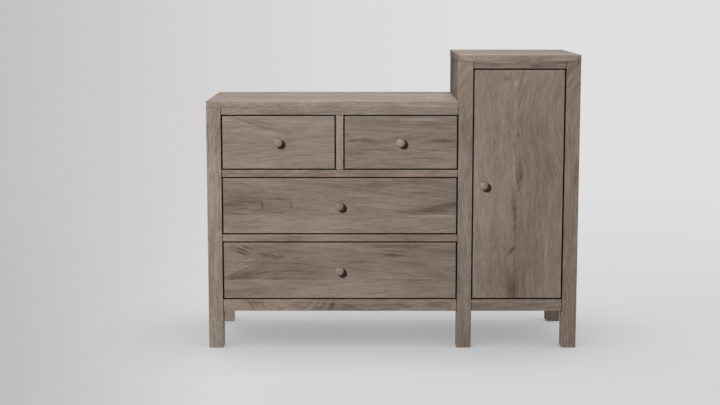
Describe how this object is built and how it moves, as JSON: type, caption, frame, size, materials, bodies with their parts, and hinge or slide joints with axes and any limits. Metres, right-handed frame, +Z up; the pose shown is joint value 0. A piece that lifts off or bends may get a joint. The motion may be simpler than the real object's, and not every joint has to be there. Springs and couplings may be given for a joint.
{
  "type": "combination dresser",
  "caption": "Wooden combination dresser: a low bank of inset drawers beside a taller cupboard with an inset door, on square posts that run down as legs.",
  "frame": {"origin": "on the floor, under the middle of the box that holds the whole piece, knobs included", "axes": "+X to the right as seen from the front, along the longest side; +Y from the front to the back; +Z up"},
  "size_m": [1.3, 0.5254, 1.035],
  "materials": {
    "case_wood": "grey-brown wash under a matt clear coat",
    "front_wood": "grey-brown wash under a matt clear coat",
    "knob_wood": "turned wood, grey-brown wash under a satin clear coat",
    "drawer_box_wood": "pale planed wood, clear sealed",
    "drawer_plywood": "pale plywood, clear sealed",
    "back_board": "veneered board, grey-brown wash",
    "hinge_steel": "blackened, satin",
    "catch_plastic": "moulded, brown"
  },
  "bodies": {
    "case": {"front_left_post": "case_wood", "front_middle_post": "case_wood", "front_right_post": "case_wood", "rear_left_post": "case_wood", "rear_right_post": "case_wood", "low_top": "case_wood", "tall_top": "case_wood", "low_top_rail": "case_wood", "upper_drawer_rail": "case_wood", "lower_drawer_rail": "case_wood", "low_bottom_rail": "case_wood", "tall_top_rail": "case_wood", "tall_bottom_rail": "case_wood", "drawer_divider": "case_wood", "left_side_panel": "case_wood", "partition_panel": "case_wood", "right_side_panel": "case_wood", "low_back_panel": "back_board", "tall_back_panel": "back_board", "cupboard_floor": "case_wood", "lower_shelf": "case_wood", "upper_shelf": "case_wood", "top_left_runner": "drawer_box_wood", "top_centre_runner": "drawer_box_wood", "top_right_runner": "drawer_box_wood", "middle_left_runner": "drawer_box_wood", "middle_right_runner": "drawer_box_wood", "bottom_left_runner": "drawer_box_wood", "bottom_right_runner": "drawer_box_wood", "upper_hinge_frame_leaf": "hinge_steel", "lower_hinge_frame_leaf": "hinge_steel", "door_catch": "catch_plastic"},
    "left_drawer": {"left_drawer_front": "front_wood", "left_drawer_left_side": "drawer_box_wood", "left_drawer_right_side": "drawer_box_wood", "left_drawer_back": "drawer_box_wood", "left_drawer_bottom": "drawer_plywood", "left_drawer_knob": "knob_wood"},
    "right_drawer": {"right_drawer_front": "front_wood", "right_drawer_left_side": "drawer_box_wood", "right_drawer_right_side": "drawer_box_wood", "right_drawer_back": "drawer_box_wood", "right_drawer_bottom": "drawer_plywood", "right_drawer_knob": "knob_wood"},
    "middle_drawer": {"middle_drawer_front": "front_wood", "middle_drawer_left_side": "drawer_box_wood", "middle_drawer_right_side": "drawer_box_wood", "middle_drawer_back": "drawer_box_wood", "middle_drawer_bottom": "drawer_plywood", "middle_drawer_knob": "knob_wood"},
    "bottom_drawer": {"bottom_drawer_front": "front_wood", "bottom_drawer_left_side": "drawer_box_wood", "bottom_drawer_right_side": "drawer_box_wood", "bottom_drawer_back": "drawer_box_wood", "bottom_drawer_bottom": "drawer_plywood", "bottom_drawer_knob": "knob_wood"},
    "door": {"door": "front_wood", "door_knob": "knob_wood", "upper_hinge_door_leaf": "hinge_steel", "lower_hinge_door_leaf": "hinge_steel"}
  },
  "joints": [
    {"name": "left_drawer_slide", "type": "slide", "parent": "case", "child": "left_drawer", "axis": [0, -1, 0], "range_m": [0, 0.3]},
    {"name": "right_drawer_slide", "type": "slide", "parent": "case", "child": "right_drawer", "axis": [0, -1, 0], "range_m": [0, 0.3]},
    {"name": "middle_drawer_slide", "type": "slide", "parent": "case", "child": "middle_drawer", "axis": [0, -1, 0], "range_m": [0, 0.3]},
    {"name": "bottom_drawer_slide", "type": "slide", "parent": "case", "child": "bottom_drawer", "axis": [0, -1, 0], "range_m": [0, 0.3]},
    {"name": "door_hinge", "type": "hinge", "parent": "case", "child": "door", "pos_m": [0.585, -0.22735, 0.1785], "axis": [0, 0, 1], "range_deg": [0, 110]}
  ]
}
